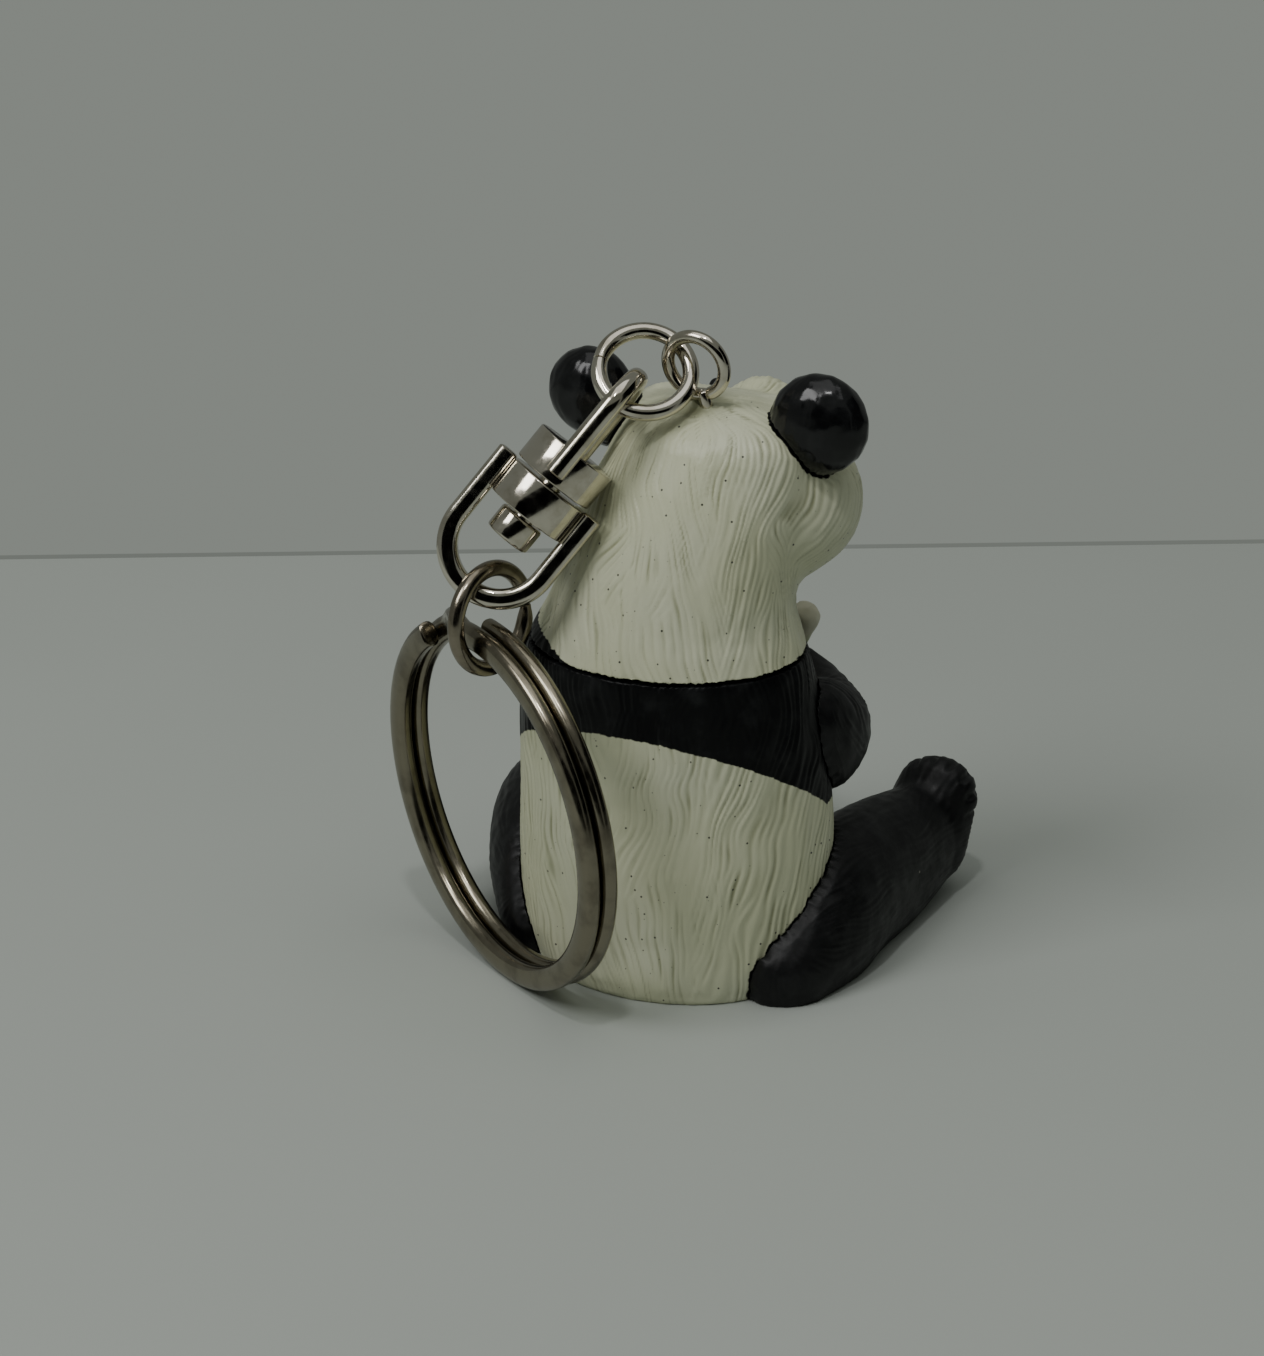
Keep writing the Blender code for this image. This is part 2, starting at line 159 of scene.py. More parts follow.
# Camera: it looks down at the panda from behind and to its right. Angles are in degrees.
CAMERA_AZIMUTH = 205
CAMERA_ELEVATION = 22
CAMERA_DISTANCE = 311.1 * MM
CAMERA_TARGET = Vector((6.14, -5.45, 18.69)) * MM
CAMERA_LENS = 112.3  # mm, as is the sensor's height
SENSOR_HEIGHT = 36

# Stage. The floor's far edge is turned a little from square to the camera.
WALL_COLOUR = (0.229, 0.248, 0.224)
ROOM_COLOUR = (0.172, 0.183, 0.169)
FLOOR_COLOUR = (0.41, 0.44, 0.405)
FLOOR_COLOUR_PALE = (0.44, 0.47, 0.435)
ROOM_R = 1000 * MM
FLOOR_TURN = 2.1  # degrees
FLOOR_BEHIND = 85 * MM
FLOOR_HALF = 650 * MM
# The painted line of shade along the floor's far edge is a strip this tall that glows at a share of the wall's
# brightness.
EDGE_LINE = 0.4 * MM
EDGE_SHADE = 0.72  # painted shade: the edge line glows at this share of the wall's brightness
LAMP_AIM = Vector((0, 0, 20)) * MM
LAMP_DISTANCE = 500 * MM
CARD_DISTANCE = 420 * MM


# Small tools


def link(name, data):
    obj = bpy.data.objects.new(name, data)
    bpy.context.scene.collection.objects.link(obj)
    return obj


def mesh_from(bm, name, sharp=40):
    bmesh.ops.recalc_face_normals(bm, faces=bm.faces[:])
    mesh = bpy.data.meshes.new(name)
    bm.to_mesh(mesh)
    bm.free()
    mesh.shade_smooth()
    mesh.set_sharp_from_angle(angle=math.radians(sharp))
    return mesh


def finish_piece(obj, finish, slot, body, *nodes):
    """Gives a piece its material and its body, and hides the CAD nodes that it stands for. The slot is not
    used.
    """
    obj.data.materials.clear()
    obj.data.materials.append(finish)
    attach(obj, body)
    if nodes:
        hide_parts(*nodes)


def points_of(mesh):
    """The mesh's points in millimetres, one row each."""
    co = np.empty(len(mesh.vertices) * 3)
    mesh.vertices.foreach_get("co", co)
    return co.reshape(-1, 3) / MM


def normals_of(mesh):
    out = np.empty(len(mesh.vertices) * 3)
    mesh.vertices.foreach_get("normal", out)
    return out.reshape(-1, 3)


def set_points(mesh, co):
    mesh.vertices.foreach_set("co", (co * MM).ravel())
    mesh.update()


def smoothstep(low, high, value):
    """0 below low and 1 above high, with a soft rise between them."""
    t = np.clip((value - low) / (high - low), 0, 1)
    return t * t * (3 - 2 * t)


# Moulded skins


def grown(node, name):
    """A fine, even skin over a CAD node's solid."""
    bm = bmesh.new()
    bm.from_mesh(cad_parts[node].data)
    bmesh.ops.remove_doubles(bm, verts=bm.verts[:], dist=1e-6)
    rough = link(name, mesh_from(bm, name))
    remesh = rough.modifiers.new("grow", "REMESH")
    remesh.mode = "VOXEL"
    remesh.voxel_size = CELL
    graph = bpy.context.evaluated_depsgraph_get()
    fine = bpy.data.meshes.new_from_object(rough.evaluated_get(graph))
    rough.modifiers.clear()
    rough.data = fine
    fine.name = name
    fine.shade_smooth()
    return rough


def relax(mesh, co, weight, rounds=RELAX_ROUNDS):
    """Evens out facets where weight is 1. Each round smooths and then swells, so the shape doesn't shrink."""
    ends = np.empty(len(mesh.edges) * 2, np.int64)
    mesh.edges.foreach_get("vertices", ends)
    a, b = ends.reshape(-1, 2).T
    degree = np.maximum(np.bincount(a, minlength=len(co)) + np.bincount(b, minlength=len(co)), 1)
    for _ in range(rounds):
        for strength in (0.55, -0.57):
            total = np.stack(
                [
                    np.bincount(a, co[b, k], len(co)) + np.bincount(b, co[a, k], len(co))
                    for k in range(3)
                ],
                axis=1,
            )
            co = co + strength * weight[:, None] * (total / degree[:, None] - co)
    return co


def hashed(cell):
    """A fixed number from 0 to 1 for each row of three whole numbers."""
    mixed = cell @ np.array(HASH_FACTORS)
    for shift in (13, 15):
        mixed = ((mixed ^ (mixed >> shift)) * HASH_MIXER) & HASH_MASK
    return (mixed >> 8) / (HASH_MASK >> 8)


def smooth_noise(*axes):
    """Smooth noise from -1 to 1, which varies over about one unit of each of three axes."""
    place = np.stack(np.broadcast_arrays(*axes), axis=1)
    cell = np.floor(place).astype(np.int64)
    t = place - cell
    t = t * t * (3 - 2 * t)
    total = np.zeros(len(place))
    for corner in np.ndindex(2, 2, 2):
        weight = np.prod(np.where(corner, t, 1 - t), axis=1)
        total += weight * hashed(cell + corner)
    return 2 * total - 1


def strands(u, z, spacing, seed):
    """Heights from -1 to 1 of long strands that run along z, side by side along u."""
    comb = np.sin(math.tau * u / spacing + 5 * smooth_noise(u / 1.5, z / 2.8, seed + 3.5))
    strength = smoothstep(-0.7, 0.3, smooth_noise(u / 0.9, z / 2.4, seed + 11.5))
    loose = smooth_noise(u / 0.37, z / 2.8, seed + 7.5)
    return np.clip(0.55 * comb * strength + 0.75 * loose, -1, 1)


def fur(co, centre, along, facing, radius, spacing, feather):
    """Hollow and clump values, from 0 to 1, of fur that runs along an axis.

    Strands are laid out round the axis, radius away from it. Two sets lean opposite ways, by feather for each
    mm along, and tufts of one alternate with tufts of the other, with a loose parting on the facing side.
    """
    along = along.normalized()
    ahead = (facing - facing.dot(along) * along).normalized()
    x, y, z = (np.array((ahead, along.cross(ahead), along)) @ (co - np.array(centre)).T)
    reach = np.hypot(x, y)
    turn = np.arctan2(y, x)
    # Sway is how far the strands wander sideways, and lean says which of the two sets a tuft follows.
    sway = 1.1 * smooth_noise(x / 4.6, y / 4.6, z / 4.2)
    sway += 0.4 * smooth_noise(x / 2.1, y / 2.1, z / 2.4 + 9)
    tufts = smooth_noise(x / 3.0, y / 3.0, z / 4.0 + 40)
    lean = smoothstep(-0.3, 0.3, 0.45 * np.tanh(turn / 0.2) + tufts)
    right = strands(radius * turn - feather * z + sway, z, spacing, 0.0)
    left = strands(radius * turn + feather * z + sway, z, spacing, 20.0)
    height = 0.5 + 0.5 * (lean * right + (1 - lean) * left)
    height *= smoothstep(0.1, 0.45, reach / radius)
    ridges = smooth_noise((radius * turn + sway) / 1.7, z / 4.0, 5.5)
    return 1 - height, 0.5 + 0.5 * np.clip(1.5 * ridges, -1, 1)


def nearest(co, tree, reach):
    """For each point, the nearest point on a mesh and its distance, or reach where there is none so near."""
    spots = co.copy()
    away = np.full(len(co), reach)
    for i, point in enumerate(co):
        spot, _, _, distance = tree.find_nearest(Vector(point) * MM, reach * MM)
        if spot is not None:
            spots[i] = np.array(spot) / MM
            away[i] = distance / MM
    return spots, away


def tree_of(*pieces):
    bm = bmesh.new()
    for piece in pieces:
        bm.from_mesh(piece.data)
    tree = BVHTree.FromBMesh(bm)
    bm.free()
    return tree


def close_join(co, tree):
    """Bends a skin over to its neighbour, and gives the share of fur that each point keeps."""
    spots, away = nearest(co, tree, JOIN_REACH)
    pull = 1 - smoothstep(0.3 * JOIN_REACH, JOIN_REACH, away)
    wanted = JOIN_GAP + (away - JOIN_GAP) * (1 - pull)
    step = np.where(away > JOIN_GAP, 1 - wanted / np.maximum(away, JOIN_GAP), 0)
    return co + (spots - co) * step[:, None], smoothstep(0.1, 1, away / JOIN_REACH)


def add_values(mesh, name, values):
    mesh.attributes.new(name, "FLOAT", "POINT").data.foreach_set("value", values.astype(np.float32))


def skin(node, depth, coat, beside=(), shape=None):
    """A carved skin over a CAD node.

    Coat holds its fur's centre, axis, facing side, radius, spacing and feather. The skin closes up to the
    pieces beside it. Shape is a function that carves more, from the points and the normals.
    """
    obj = grown(node, f"{node}_skin")
    mesh = obj.data
    co = points_of(mesh)
    # The flat seat and the two flat faces of the neck's join keep their sharp rims.
    free = smoothstep(0.05, 0.6, co[:, 2])
    if node == "head":
        free = free * smoothstep(NECK_Z + NECK_GAP + 0.1, NECK_Z + NECK_GAP + 0.9, co[:, 2])
    if node == "torso":
        free = free * (1 - smoothstep(NECK_Z - 0.9, NECK_Z - 0.1, co[:, 2]))
    co = relax(mesh, co, free)
    if node == "head":
        reach = 1 - smoothstep(NECK_Z + NECK_GAP, NECK_Z + NECK_GAP + 1.6, co[:, 2])
        co[:, 2] -= NECK_CLOSE * reach
    keep = smoothstep(0.0, 0.8, co[:, 2])
    if beside:
        co, furred = close_join(co, tree_of(*beside))
        co = relax(mesh, co, 1 - furred, JOIN_ROUNDS)
        keep = keep * furred
    set_points(mesh, co)
    if shape:
        co = shape(co, normals_of(mesh))
        set_points(mesh, co)
    hollow, clump = fur(co, *coat)
    sink = depth * (0.7 * hollow + 0.3 * clump) * keep
    co = co - normals_of(mesh) * sink[:, None]
    low, high = (np.array(corner) / MM for corner in CAD_BOX)
    set_points(mesh, np.clip(co, low + BOX_KEEP, high - BOX_KEEP))
    # The vinyl's material darkens these hollows as painted shade.
    add_values(mesh, "hollow", hollow)
    return obj


def mark_joins(obj, *beside):
    """Keeps each point's distance to the neighbouring skins, for paint that has strayed past the joins."""
    add_values(obj.data, "join", nearest(points_of(obj.data), tree_of(*beside), JOIN_SIGHT)[1])


def toes(tip, outward):
    """A function that notches a foot's rim into toes, from the inner top round to the outer side."""

    def notch(co, normals):
        across = (co[:, 0] - tip.x) * outward
        up = co[:, 2] - tip.z
        angle = np.arctan2(across, up)
        toe = TOES * (angle - TOES_FROM) / (TOES_TO - TOES_FROM)
        gap = np.abs(toe - np.round(toe))
        inside = smoothstep(-0.3, 0.1, toe) * (1 - smoothstep(TOES - 0.1, TOES + 0.3, toe))
        rim = smoothstep(2.6, 3.1, np.hypot(across, up)) * (1 - smoothstep(-18.9, -17.9, co[:, 1]))
        depth = TOE_NOTCH * (1 - smoothstep(0.0, 0.3, gap)) * inside * rim
        return co - normals * depth[:, None]

    return notch


def mouth(co, normals):
    """Carves the line from the nose down to the mouth, and the mouth itself, into the muzzle."""
    x = co[:, 0] - MUZZLE.x
    front = 1 - smoothstep(-12.6, -11.2, co[:, 1])
    up = co[:, 2] - MOUTH_Z
    middle = (1 - smoothstep(0.1, 0.28, np.abs(x))) * (1 - smoothstep(1.1, 1.5, up))
    middle = middle * smoothstep(-0.1, 0.1, up)
    smile = np.abs(up - 0.16 * (np.abs(x) - 1.0) ** 2)
    lips = (1 - smoothstep(0.1, 0.28, smile)) * (1 - smoothstep(1.7, 2.1, np.abs(x)))
    return co - normals * (MOUTH_DEPTH * np.maximum(middle, lips) * front)[:, None]


# Materials


class Shader:
    """A material's node tree, with short calls for the nodes that it takes."""

    def __init__(self, name):
        self.material = bpy.data.materials.new(name)
        self.material.use_nodes = True
        self.tree = self.material.node_tree
        self.surface = self.tree.nodes["Principled BSDF"]
        self.place = self.tree.nodes.new("ShaderNodeTexCoord").outputs["Object"]

    def node(self, kind, **settings):
        made = self.tree.nodes.new("ShaderNode" + kind)
        for name, value in settings.items():
            setattr(made, name, value)
        return made

    def plug(self, value, socket):
        if isinstance(value, bpy.types.NodeSocket):
            self.tree.links.new(value, socket)
        else:
            socket.default_value = value

    def math(self, operation, a, b=0.0):
        made = self.node("Math", operation=operation)
        self.plug(a, made.inputs[0])
        self.plug(b, made.inputs[1])
        return made.outputs[0]

    def noise(self, scale, detail=3.0, rough=0.5):
        """Noise from 0 to 1, with this many waves in each mm."""
        made = self.node("TexNoise")
        self.plug(self.place, made.inputs["Vector"])
        made.inputs["Scale"].default_value = scale / MM
        made.inputs["Detail"].default_value = detail
        made.inputs["Roughness"].default_value = rough
        return made.outputs["Fac"]

    def ramp(self, value, low, high, out_low=0.0, out_high=1.0):
        made = self.node("MapRange", interpolation_type="SMOOTHSTEP")
        self.plug(value, made.inputs["Value"])
        made.inputs["From Min"].default_value = low
        made.inputs["From Max"].default_value = high
        made.inputs["To Min"].default_value = out_low
        made.inputs["To Max"].default_value = out_high
        return made.outputs["Result"]

    def mix(self, factor, a, b):
        made = self.node("Mix", data_type="RGBA")
        self.plug(factor, made.inputs["Factor"])
        self.plug((*a, 1) if isinstance(a, tuple) else a, made.inputs["A"])
        self.plug((*b, 1) if isinstance(b, tuple) else b, made.inputs["B"])
        return made.outputs["Result"]

    def attribute(self, name):
        return self.node("Attribute", attribute_name=name).outputs["Fac"]

    def axis(self, index):
        split = self.node("SeparateXYZ")
        self.plug(self.place, split.inputs[0])
        return self.math("DIVIDE", split.outputs[index], MM)

    def distance(self, point, radii, turn):
        """Distance from a point, as a share of the radii in mm along axes that are turned about Y."""
        made = self.node("Mapping", vector_type="TEXTURE")
        self.plug(self.place, made.inputs["Vector"])
        made.inputs["Location"].default_value = Vector(point) * MM
        made.inputs["Rotation"].default_value = (0, turn, 0)
        made.inputs["Scale"].default_value = Vector(radii) * MM
        length = self.node("VectorMath", operation="LENGTH")
        self.plug(made.outputs[0], length.inputs[0])
        return length.outputs["Value"]

    def specks(self, spacing, size, share):
        """1 on tiny scattered grains, at most one in each cell of this spacing in mm."""
        made = self.node("TexVoronoi")
        self.plug(self.place, made.inputs["Vector"])
        made.inputs["Scale"].default_value = 1 / (spacing * MM)
        near = self.ramp(made.outputs["Distance"], size * 0.6, size, 1, 0)
        chosen = self.node("SeparateColor")
        self.plug(made.outputs["Color"], chosen.inputs[0])
        return self.math("MULTIPLY", near, self.math("LESS_THAN", chosen.outputs[0], share))

    def bump(self, height, strength, distance):
        made = self.node("Bump")
        made.inputs["Strength"].default_value = strength
        made.inputs["Distance"].default_value = distance * MM
        self.plug(height, made.inputs["Height"])
        self.plug(made.outputs["Normal"], self.surface.inputs["Normal"])

    def set(self, **values):
        for name, value in values.items():
            self.plug(value, self.surface.inputs[name.replace("_", " ")])


CREAM = (0.60, 0.615, 0.425)
CREAM_PALE = (0.65, 0.665, 0.515)
# CREAM_HOLLOW_SHADE is painted shade for the fur's hollows.
CREAM_HOLLOW_SHADE = (0.24, 0.25, 0.135)
GRIME = (0.03, 0.03, 0.025)
BLACK = (0.0036, 0.0038, 0.0043)
# BLACK_DUST_AND_SHEEN is a lighter grey in random patches, partly dust and partly a painted sheen.
BLACK_DUST_AND_SHEEN = (0.02, 0.0212, 0.0218)
PALE_DUST = (0.35, 0.33, 0.28)
SHOOT_CREAM = (0.62, 0.60, 0.46)
SHOOT_GREEN = (0.33, 0.38, 0.16)
SHOOT_RING = (0.14, 0.17, 0.06)
NICKEL = (0.66, 0.62, 0.53)
NICKEL_TARNISH = (0.48, 0.44, 0.35)
DULL_NICKEL = (0.30, 0.265, 0.205)
DULL_TARNISH = (0.18, 0.155, 0.115)
SATIN_NICKEL = (0.27, 0.245, 0.185)
SATIN_TARNISH = (0.18, 0.16, 0.12)


def vinyl(name, paint):
    """Cream vinyl with painted shade in its fur's hollows, and dark specks of grime. Paint gives the share of
    black paint on it.
    """
    s = Shader(name)
    # Painted shade: the fur's hollows are darkened, in patches, towards the shaded cream.
    depth = s.ramp(s.attribute("hollow"), 0.5, 1.0, 0, 0.85)
    colour = s.mix(s.ramp(s.noise(0.12, 2), 0.35, 0.75, 0, 0.6), CREAM, CREAM_PALE)
    colour = s.mix(s.math("MULTIPLY", depth, s.ramp(s.noise(0.3), 0.3, 0.65, 0.35, 1)), colour, CREAM_HOLLOW_SHADE)
    grain = s.specks(0.75, 0.13, 0.4)
    patches = s.ramp(s.noise(0.17, 2), 0.48, 0.62)
    fine_grain = s.math("MULTIPLY", s.specks(0.5, 0.13, 0.3), patches)
    colour = s.mix(s.math("MAXIMUM", grain, s.math("MULTIPLY", fine_grain, 0.75)), colour, GRIME)
    share = paint(s)
    rough = blend_value(s, share, s.ramp(s.noise(1.2), 0.3, 0.7, 0.34, 0.48), 0.36)
    s.set(Base_Color=s.mix(share, colour, black_colour(s)), Roughness=rough)
    s.set(Specular_IOR_Level=blend_value(s, share, 0.42, 0.16))
    s.bump(s.noise(5.0, 4, 0.6), 0.25, 0.05)
    return s.material


def blend_value(s, share, a, b):
    """a where share is 0, and b where it is 1."""
    keep = s.math("MULTIPLY", s.math("SUBTRACT", 1.0, share), a)
    return s.math("ADD", keep, s.math("MULTIPLY", share, b))


def black_colour(s):
    # Lighter grey patches on the black, partly dust and partly a painted sheen.
    dust_and_sheen = s.math("MULTIPLY", s.ramp(s.noise(0.5, 4, 0.6), 0.45, 0.75), 0.55)
    colour = s.mix(dust_and_sheen, BLACK, BLACK_DUST_AND_SHEEN)
    return s.mix(s.specks(2.6, 0.04, 0.3), colour, PALE_DUST)


def black_paint(name, gloss):
    """Black paint: gloss 1 is wet-looking, as on the ears, and 0 is dusty satin, as on the legs."""
    s = Shader(name)
    low, high = 0.44 - 0.34 * gloss, 0.58 - 0.36 * gloss
    s.set(Base_Color=black_colour(s), Roughness=s.ramp(s.noise(0.9), 0.3, 0.7, low, high))
    s.set(Specular_IOR_Level=0.32 + 0.08 * gloss)
    s.bump(s.noise(2.2, 4, 0.6), 0.3 - 0.2 * gloss, 0.06)
    return s.material


def ragged(s, value, width, amount):
    """1 where value, in mm, is above 0, with a brushed edge that wanders by amount."""
    wander = s.math("MULTIPLY", s.math("SUBTRACT", s.noise(1.1, 5, 0.7), 0.5), amount)
    return s.ramp(s.math("ADD", value, wander), -width, width)


def torso_paint(s):
    """The black band over the shoulders: its lower edge is a plane that drops towards the chest."""
    slope = s.math("ADD", s.math("MULTIPLY", s.axis(1), BAND_SLOPE), BAND_MIDDLE)
    edge = s.math("MAXIMUM", slope, BAND_LOWEST)
    band = ragged(s, s.math("SUBTRACT", s.axis(2), edge), 0.05, 0.5)
    return s.math("MAXIMUM", band, strayed(s, 0.16))


def strayed(s, width):
    """Black that has strayed this many mm past the joins with the black pieces."""
    return ragged(s, s.math("SUBTRACT", width, s.attribute("join")), 0.04, 0.4)


def head_paint(s):
    """Black that has strayed over the rim of the cape and round the ears, and the patches of the eyes."""
    past = s.math("MAXIMUM", s.math("SUBTRACT", s.axis(0), CAPE_RISE_FROM), 0.0)
    edge = s.math("ADD", s.math("MULTIPLY", past, CAPE_RISE), NECK_Z + CAPE_EDGE)
    share = ragged(s, s.math("SUBTRACT", edge, s.axis(2)), 0.04, 0.9)
    share = s.math("MAXIMUM", share, strayed(s, 0.2))
    for side in (-1, 1):
        centre = (MUZZLE.x + side * PATCH_CENTRE[0], *PATCH_CENTRE[1:])
        near = s.math("SUBTRACT", 1.0, s.distance(centre, PATCH_RADII, side * PATCH_TURN))
        share = s.math("MAXIMUM", share, ragged(s, near, 0.04, 0.3))
    return share


def shoot_paint(name):
    """Pale bamboo: cream at its cut tip and green lower down, with a darker ring at its joint."""
    s = Shader(name)
    height = s.axis(2)
    colour = s.mix(s.ramp(height, 20.5, 21.6), SHOOT_GREEN, SHOOT_CREAM)
    ring = s.ramp(s.math("ABSOLUTE", s.math("SUBTRACT", height, 18.2)), 0.1, 0.35, 0.7, 0)
    colour = s.mix(ring, colour, SHOOT_RING)
    colour = s.mix(s.specks(1.3, 0.08, 0.3), colour, GRIME)
    s.set(Base_Color=colour, Roughness=s.ramp(s.noise(1.0), 0.3, 0.7, 0.38, 0.5))
    s.bump(s.noise(4.0, 4), 0.25, 0.05)
    return s.material


def nickel(name, colour, tarnish, low, high):
    """Nickel plate: a warm mirror with faint patches of tarnish, and a roughness from low to high."""
    s = Shader(name)
    patches = s.ramp(s.noise(0.45, 4, 0.6), 0.42, 0.72)
    rough = s.ramp(s.noise(1.5, 3), 0.3, 0.7, low, high)
    s.set(Base_Color=s.mix(patches, colour, tarnish), Roughness=rough, Metallic=1.0)
    s.bump(s.noise(0.8, 3), 0.07, 0.08)
    return s.material


# Links of the chain


def ring_axes(normal, towards):
    """Two unit vectors in a ring's plane, the first as near to towards as it can be."""
    normal = normal.normalized()
    along = (towards - towards.dot(normal) * normal).normalized()
    return along, normal.cross(along)


def arc(centre, along, up, radius, start, end, steps):
    angles = [start + (end - start) * i / steps for i in range(steps + 1)]
    return [centre + radius * (math.cos(a) * along + math.sin(a) * up) for a in angles]


def wire(name, points, across, half_across, half_depth, power=1.0, sides=24, scales=None, soft_end=EDGE):
    """A rod bent along points, with rounded ends. Scales thin it point by point. A power under 1 squares it."""
    steps = list(zip(points, scales or [1.0] * len(points)))
    first = (points[1] - points[0]).normalized()
    last = (points[-2] - points[-1]).normalized()
    first_scale, last_scale = steps[0][1], steps[-1][1]
    for k, share in ((0.7, 0.95), (0.25, 0.84), (0.0, 0.66)):
        steps.insert(0, (points[0] + first * soft_end * (k - 1), share * first_scale))
        steps.append((points[-1] + last * soft_end * (k - 1), share * last_scale))
    bm = bmesh.new()
    rows = []
    end = len(steps) - 1
    for i, (point, scale) in enumerate(steps):
        tangent = (steps[min(i + 1, end)][0] - steps[max(i - 1, 0)][0]).normalized()
        wide = (across - across.dot(tangent) * tangent).normalized()
        deep = tangent.cross(wide)
        row = []
        for k in range(sides):
            turn = math.tau * (k + 0.5) / sides
            a = math.copysign(abs(math.cos(turn)) ** power, math.cos(turn)) * half_across * scale
            b = math.copysign(abs(math.sin(turn)) ** power, math.sin(turn)) * half_depth * scale
            row.append(bm.verts.new(point + wide * a + deep * b))
        rows.append(row)
    for before, after in zip(rows, rows[1:]):
        for k in range(sides):
            m = (k + 1) % sides
            bm.faces.new((before[k], before[m], after[m], after[k]))
    bm.faces.new(rows[0])
    bm.faces.new(reversed(rows[-1]))
    return link(name, mesh_from(bm, name))


def turned(name, foot, axis, profile, sides=72):
    """A solid of revolution from (radius, height) pairs, closed by flat caps."""
    bm = bmesh.new()
    turn = axis.to_track_quat("Z", "Y").to_matrix().to_4x4()
    angles = [math.tau * k / sides for k in range(sides)]
    rows = []
    for radius, height in profile:
        rows.append([bm.verts.new((radius * math.cos(a), radius * math.sin(a), height)) for a in angles])
    for before, after in zip(rows, rows[1:]):
        for k in range(sides):
            m = (k + 1) % sides
            bm.faces.new((before[k], before[m], after[m], after[k]))
    bm.faces.new(reversed(rows[0]))
    bm.faces.new(rows[-1])
    bmesh.ops.transform(bm, matrix=Matrix.Translation(foot) @ turn, verts=bm.verts[:])
    return link(name, mesh_from(bm, name, 35))


def rounded_profile(low, high, radius, edge):
    """Half the outline of a short cylinder with rounded edges."""
    corner = [math.radians(a) for a in (0, 30, 60, 90)]
    bottom = [(radius - edge * (1 - math.sin(a)), low + edge * (1 - math.cos(a))) for a in corner]
    top = [(radius - edge * (1 - math.cos(a)), high - edge * (1 - math.sin(a))) for a in corner]
    return bottom + top


def joined(base, *others):
    """The union of closed meshes, as one mesh."""
    for other in others:
        step = base.modifiers.new(other.name, "BOOLEAN")
        step.operation = "UNION"
        step.object = other
        step.solver = "EXACT"
    return applied(base, others)


def cut(base, tool):
    step = base.modifiers.new(tool.name, "BOOLEAN")
    step.operation = "DIFFERENCE"
    step.object = tool
    step.solver = "EXACT"
    return applied(base, [tool])


def applied(base, tools):
    bpy.context.view_layer.update()
    mesh = bpy.data.meshes.new_from_object(base.evaluated_get(bpy.context.evaluated_depsgraph_get()))
    base.modifiers.clear()
    base.data = mesh
    mesh.shade_smooth()
    mesh.set_sharp_from_angle(angle=math.radians(35))
    for tool in tools:
        bpy.data.objects.remove(tool)
    return base


def jump_ring(name, centre, normal, slit_towards, radius, pinch):
    """A wire ring whose cut ends, on either side of a hairline slit, are nipped thinner by pinch."""
    along, up = ring_axes(normal, slit_towards)
    half_slit = RING_SLIT / 2 / radius
    steps = 120
    points = arc(centre, along, up, radius, half_slit, math.tau - half_slit, steps)
    scales = []
    for i in range(steps + 1):
        from_end = min(i, steps - i) / steps * math.tau * radius / MM
        scales.append(1 - pinch * math.exp(-((from_end / PINCH_REACH) ** 2)))
    across = normal.normalized()
    return wire(name, points, across, RING_WIRE_R, RING_WIRE_R, scales=scales, soft_end=NIPPED_EDGE)


def screw_eye():
    """The wire eye with its straight shank."""
    normal = EYE_NORMAL.normalized()
    down, side = ring_axes(normal, EYE_SHANK)
    foot = EYE_CENTRE + EYE_R * down
    bend = arc(EYE_CENTRE, down, side, EYE_R, 0, EYE_BEND, 110)
    ring = wire("screw_eye_loop", bend, normal, EYE_WIRE_R, EYE_WIRE_R)
    start = foot - EYE_WIRE_R / 2 * down
    straight = [start + down * SHANK_LENGTH * i / 8 for i in range(9)]
    shank = wire("shank", straight, normal, EYE_WIRE_R, EYE_WIRE_R)
    return joined(ring, shank)


def swivel_axes():
    """The directions of the frame's legs and of the bail's legs from the swivel's axis."""
    across, _ = ring_axes(SWIVEL_AXIS, LOOP_ACROSS)
    return across, SWIVEL_AXIS.cross(across)


def pin_bore(name):
    """The hole through the collar and up into the drum."""
    top = DRUM_TOP - PIN_R + PIN_FIT
    profile = [(PIN_R + PIN_FIT, PIN_HEAD_BOTTOM), (PIN_R + PIN_FIT, top)]
    return turned(name, COLLAR_CENTRE, SWIVEL_AXIS, profile, 48)


def swivel_bail():
    """The flat loop that hangs on the top ring, with its legs down the sides of the drum."""
    across, depth = swivel_axes()
    crest = COLLAR_CENTRE + (BAIL_TOP - BAIL_HALF_WIDTH) * SWIVEL_AXIS
    foot = COLLAR_CENTRE + (DRUM_BOTTOM + BAIL_WIRE_R) * SWIVEL_AXIS
    side = BAIL_HALF_WIDTH * depth
    leg = [foot + side + (crest - foot) * i / 12 for i in range(12)]
    bend = arc(crest, depth, SWIVEL_AXIS, BAIL_HALF_WIDTH, 0, math.pi, 60)
    other = [crest - side + (foot - crest) * i / 12 for i in range(1, 13)]
    loop = wire("swivel_bail_loop", [*leg, *bend, *other], across, BAIL_WIRE_R, BAIL_WIRE_R, 0.88)
    outline = rounded_profile(DRUM_BOTTOM, DRUM_TOP, COLLAR_R, EDGE)
    drum = turned("drum", COLLAR_CENTRE, SWIVEL_AXIS, outline)
    return cut(joined(loop, drum), pin_bore("bail_bore"))


